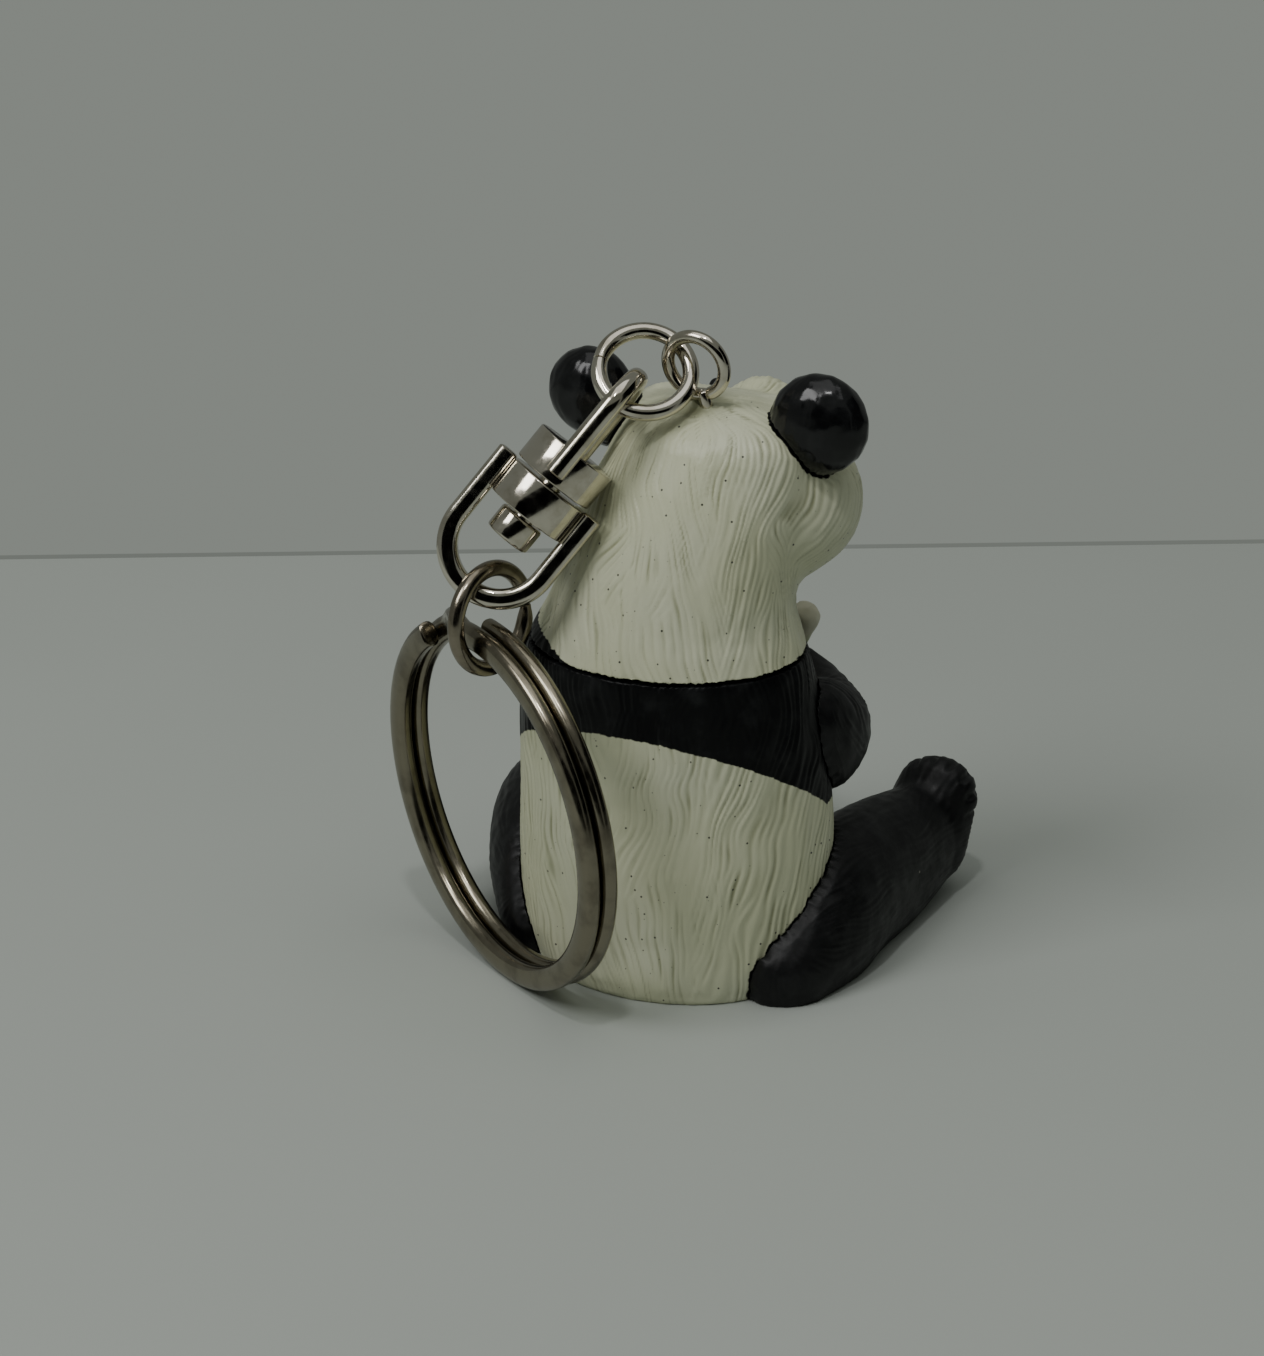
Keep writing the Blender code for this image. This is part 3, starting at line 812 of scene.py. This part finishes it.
def swivel_frame():
    """The collar and its D-shaped loop, square-edged beside the collar and rounder at the bend."""
    across, depth = swivel_axes()
    low = COLLAR_CENTRE + LOOP_CENTRE * SWIVEL_AXIS
    side = LOOP_HALF_WIDTH * across
    top = COLLAR_CENTRE + COLLAR_HALF * SWIVEL_AXIS
    leg = [top + side + (low - top) * i / 12 for i in range(12)]
    bend = arc(low, across, -SWIVEL_AXIS, LOOP_HALF_WIDTH, 0, math.pi, 60)
    other = [low - side + (top - low) * i / 12 for i in range(1, 13)]
    loop = wire("swivel_frame_loop", [*leg, *bend, *other], depth, LOOP_WIRE_R, LOOP_WIRE_R, 0.68)
    outline = rounded_profile(-COLLAR_HALF, COLLAR_HALF, COLLAR_R, EDGE)
    collar = turned("collar", COLLAR_CENTRE, SWIVEL_AXIS, outline)
    return cut(joined(loop, collar), pin_bore("frame_bore"))


def swivel_pin():
    """The rivet, with its head below the collar and its shaft up into the drum."""
    outline = rounded_profile(PIN_HEAD_BOTTOM, PIN_HEAD_TOP, PIN_HEAD_R, 2 * EDGE)
    head = turned("swivel_pin_rivet", COLLAR_CENTRE, SWIVEL_AXIS, outline)
    straight = [(PIN_R, PIN_HEAD_BOTTOM + PIN_R), (PIN_R, DRUM_TOP - PIN_R)]
    return joined(head, turned("pin_shaft", COLLAR_CENTRE, SWIVEL_AXIS, straight, 48))


def split_ring():
    """One wire wound into two turns, which steps from the first to the second near the top."""
    up, right = ring_axes(SPLIT_NORMAL, Vector((0, 0, 1)))
    reach = math.tau - SPLIT_END_GAP
    steps = 420
    points = []
    for i in range(steps + 1):
        angle = -reach + 2 * reach * i / steps
        t = max(-1.0, min(1.0, angle / JOGGLE_HALF))
        level = SPLIT_PITCH / 2 * math.sin(math.pi / 2 * t)
        radius = SPLIT_WIRE_PATH_R + JOGGLE_RISE * math.cos(math.pi / 2 * t)
        turn = JOGGLE_AT + angle
        spoke = math.cos(turn) * up - math.sin(turn) * right
        points.append(SPLIT_CENTRE + radius * spoke + level * SPLIT_NORMAL)
    return wire("key_split_ring", points, SPLIT_NORMAL, SPLIT_AXIAL / 2, SPLIT_RADIAL / 2, 0.8, 20)


# Face


def bead(name, side, centre, radii):
    """A rounded bead, as of an eye or a nose. Its centre's X counts to one side from the muzzle's middle."""
    bm = bmesh.new()
    place = Matrix.Translation(Vector((MUZZLE.x + side * centre[0], *centre[1:])) * MM)
    sized = Matrix.Diagonal((*(Vector(radii) * MM), 1))
    bmesh.ops.create_uvsphere(bm, u_segments=40, v_segments=24, radius=1, matrix=place @ sized)
    return link(name, mesh_from(bm, name, 180))


def make_face(glossy):
    for side, name in ((-1, "right"), (1, "left")):
        eye = bead(f"eye_{name}", side, PANDA_EYE, PANDA_EYE_RADII)
        finish_piece(eye, glossy, "black_paint", "figure")
    nose = bead("nose", 1, NOSE_CENTRE, NOSE_RADII)
    finish_piece(nose, glossy, "black_paint", "figure")


# The object


def make_figure(eye):
    """The moulded pieces. The head's skin rises round the screw eye's shank."""
    satin_black = black_paint("black_satin", 0.05)
    glossy_black = black_paint("black_gloss", 0.92)
    up = Vector((0, 0, 1))
    torso_coat = ((0.5, -0.6, 9.0), up, BACKWARDS, 11.0, 0.57, 0.24)
    torso = skin("torso", FUR_DEPTH, torso_coat)
    head_coat = ((-0.9, -1.6, 30.0), up, BACKWARDS, 9.0, 0.53, 0.34)
    head = skin("head", FUR_DEPTH, head_coat, beside=[eye], shape=mouth)
    limbs, ears = [], []
    for side, outward in (("right", -1), ("left", 1)):
        shoulder = Vector((outward * 8.2 + 0.7, -4.4, 17.2))
        arm_coat = (shoulder, Vector((0.1 * outward, 0.45, 1)), Vector((outward, 0, 0)), 4.0, 0.55, 0.2)
        arm = skin(f"arm_{side}", ARM_FUR_DEPTH, arm_coat, beside=[torso])
        hip = Vector((outward * 12.0, -8.0, 4.5))
        leg_coat = (hip, Vector((-0.12 * outward, 1, 0.05)), up, 5.0, 0.7, 0.0)
        foot = toes(FOOT_TIPS[f"leg_{side}"], outward)
        leg = skin(f"leg_{side}", LEG_FUR_DEPTH, leg_coat, beside=[torso], shape=foot)
        ear_coat = (Vector((outward * 8.6 - 0.6, -3, 40)), up, BACKWARDS, 3.4, 0.9, 0.0)
        ear = skin(f"ear_{side}", EAR_FUR_DEPTH, ear_coat, beside=[head])
        limbs += [arm, leg]
        ears.append(ear)
    mark_joins(torso, *limbs)
    mark_joins(head, *ears)
    finish_piece(torso, vinyl("cream_torso", torso_paint), "cream_vinyl", "figure", "torso")
    finish_piece(head, vinyl("cream_head", head_paint), "cream_vinyl", "figure", "head")
    for limb in limbs:
        finish_piece(limb, satin_black, "black_paint", "figure", limb.name.removesuffix("_skin"))
    for ear in ears:
        finish_piece(ear, glossy_black, "black_paint", "figure", ear.name.removesuffix("_skin"))
    shoot_coat = (Vector((-1, -13.3, 18)), up, BACKWARDS, 2.0, 0.6, 0.0)
    shoot = skin("bamboo_shoot", SHOOT_GRAIN_DEPTH, shoot_coat)
    finish_piece(shoot, shoot_paint("bamboo"), "green_paint", "figure", "bamboo_shoot")
    make_face(glossy_black)


def make_chain(eye):
    bright = nickel("nickel_bright", NICKEL, NICKEL_TARNISH, 0.07, 0.17)
    dull = nickel("nickel_dull", DULL_NICKEL, DULL_TARNISH, 0.15, 0.24)
    satin = nickel("nickel_satin", SATIN_NICKEL, SATIN_TARNISH, 0.16, 0.25)
    finish_piece(eye, bright, "nickel_plate", "figure", "screw_eye")
    top = jump_ring("top_ring_wire", TOP_RING_CENTRE, TOP_RING_NORMAL, Vector((1, 1, 1)), TOP_RING_R, 0.1)
    finish_piece(top, bright, "nickel_plate", "top_ring", "top_jump_ring")
    finish_piece(swivel_bail(), bright, "nickel_plate", "bail", "swivel_bail")
    finish_piece(swivel_pin(), bright, "nickel_plate", "bail", "swivel_pin")
    finish_piece(swivel_frame(), bright, "nickel_plate", "swivel_loop", "swivel_frame")
    slit = Vector((0, -1, 0))
    lower = jump_ring("lower_ring_wire", LOWER_RING_CENTRE, LOWER_RING_NORMAL, slit, LOWER_RING_R, 0.35)
    finish_piece(lower, dull, "nickel_plate", "lower_ring", "lower_jump_ring")
    finish_piece(split_ring(), satin, "satin_nickel", "key_ring", "split_ring")


# The stage


def glow(name, colour, strength):
    """A surface that shines evenly."""
    s = Shader(name)
    s.set(Base_Color=(0, 0, 0, 1), Emission_Color=(*colour, 1), Emission_Strength=strength, Roughness=1.0)
    s.set(Specular_IOR_Level=0.0)
    return s.material


def sheet(name, corners, finish):
    """A flat, four-cornered piece of the stage."""
    bm = bmesh.new()
    bm.faces.new([bm.verts.new(corner) for corner in corners])
    piece = link(name, mesh_from(bm, name))
    piece.data.materials.append(finish)


def make_floor():
    """A pale floor that ends behind the object, for the camera, with a painted line of shade along its far
    edge.
    """
    view = -towards(CAMERA_AZIMUTH + FLOOR_TURN, 0, 1)
    beside = Vector((view.y, -view.x, 0)) * FLOOR_HALF
    s = Shader("floor_pale")
    s.set(Base_Color=s.mix(s.noise(0.02, 2), FLOOR_COLOUR, FLOOR_COLOUR_PALE))
    s.set(Roughness=0.6, Specular_IOR_Level=0.3)
    far, near = view * FLOOR_BEHIND, -view * FLOOR_HALF
    sheet("floor", (far + beside, far - beside, near - beside, near + beside), s.material)
    rise = Vector((0, 0, EDGE_LINE))
    edge_shade_glow = glow("painted_edge_shade", WALL_COLOUR, EDGE_SHADE)
    # Painted shade: a thin strip that glows dimmer than the wall, standing for the shade where the floor meets
    # the wall.
    sheet("floor_edge_shade_line", (far + beside, far - beside, far + rise - beside, far + rise + beside), edge_shade_glow)


def softbox(name, azimuth, elevation, size, power):
    """A square lamp that shines at the object from a direction in degrees."""
    data = bpy.data.lights.new(name, "AREA")
    data.size = size
    data.energy = power
    light = link(name, data)
    light.location = towards(azimuth, elevation, LAMP_DISTANCE)
    light.rotation_euler = (LAMP_AIM - light.location).to_track_quat("-Z", "Y").to_euler()


def dark_card(name, azimuth, elevation, width, height):
    """A black card that only reflections see, for the dark streaks in the metal."""
    bm = bmesh.new()
    bmesh.ops.create_grid(bm, x_segments=1, y_segments=1, size=0.5)
    card = link(name, mesh_from(bm, name))
    card.location = towards(azimuth, elevation, CARD_DISTANCE)
    card.scale = (width, height, 1)
    card.rotation_euler = (-card.location).to_track_quat("Z", "Y").to_euler()
    s = Shader(name)
    s.set(Base_Color=(0.004, 0.004, 0.004, 1), Roughness=1.0, Specular_IOR_Level=0.0)
    card.data.materials.append(s.material)
    card.visible_camera = False
    card.visible_shadow = False
    card.visible_diffuse = False


def towards(azimuth, elevation, distance):
    """The point this far from the origin in a direction, with azimuth 0 at -Y and 90 at +X, in degrees."""
    azimuth, elevation = math.radians(azimuth), math.radians(elevation)
    level = math.cos(elevation)
    return distance * Vector((math.sin(azimuth) * level, -math.cos(azimuth) * level, math.sin(elevation)))


def make_room():
    """A dim shell round the stage, which lights the object evenly and which the camera looks through."""
    bm = bmesh.new()
    bmesh.ops.create_icosphere(bm, subdivisions=3, radius=ROOM_R)
    room = link("room", mesh_from(bm, "room"))
    room.data.materials.append(glow("room_dim", ROOM_COLOUR, 1.0))
    room.visible_camera = False


def make_light():
    world = bpy.data.worlds.new("studio")
    world.use_nodes = True
    world.node_tree.nodes["Background"].inputs["Color"].default_value = (*WALL_COLOUR, 1)
    bpy.context.scene.world = world
    make_room()
    softbox("key_light", 150, 50, 200 * MM, 0.82)
    softbox("ceiling_light", 196, 66, 30 * MM, 0.3)
    softbox("top_light", 205, 86, 400 * MM, 0.42)
    dark_card("dark_room", 205, 12, 700 * MM, 360 * MM)
    dark_card("dark_side", 285, 20, 400 * MM, 400 * MM)


def make_camera():
    data = bpy.data.cameras.new("camera")
    data.sensor_fit = "VERTICAL"
    data.sensor_height = SENSOR_HEIGHT
    data.lens = CAMERA_LENS
    data.clip_start, data.clip_end = 10 * MM, 10000 * MM
    camera = link("camera", data)
    back = towards(CAMERA_AZIMUTH, CAMERA_ELEVATION, CAMERA_DISTANCE)
    camera.location = CAMERA_TARGET + back
    camera.rotation_euler = (-back).to_track_quat("-Z", "Y").to_euler()
    bpy.context.scene.camera = camera


crown_eye = screw_eye()
make_figure(crown_eye)
make_chain(crown_eye)
make_floor()
make_light()
make_camera()

bpy.context.view_layer.update()
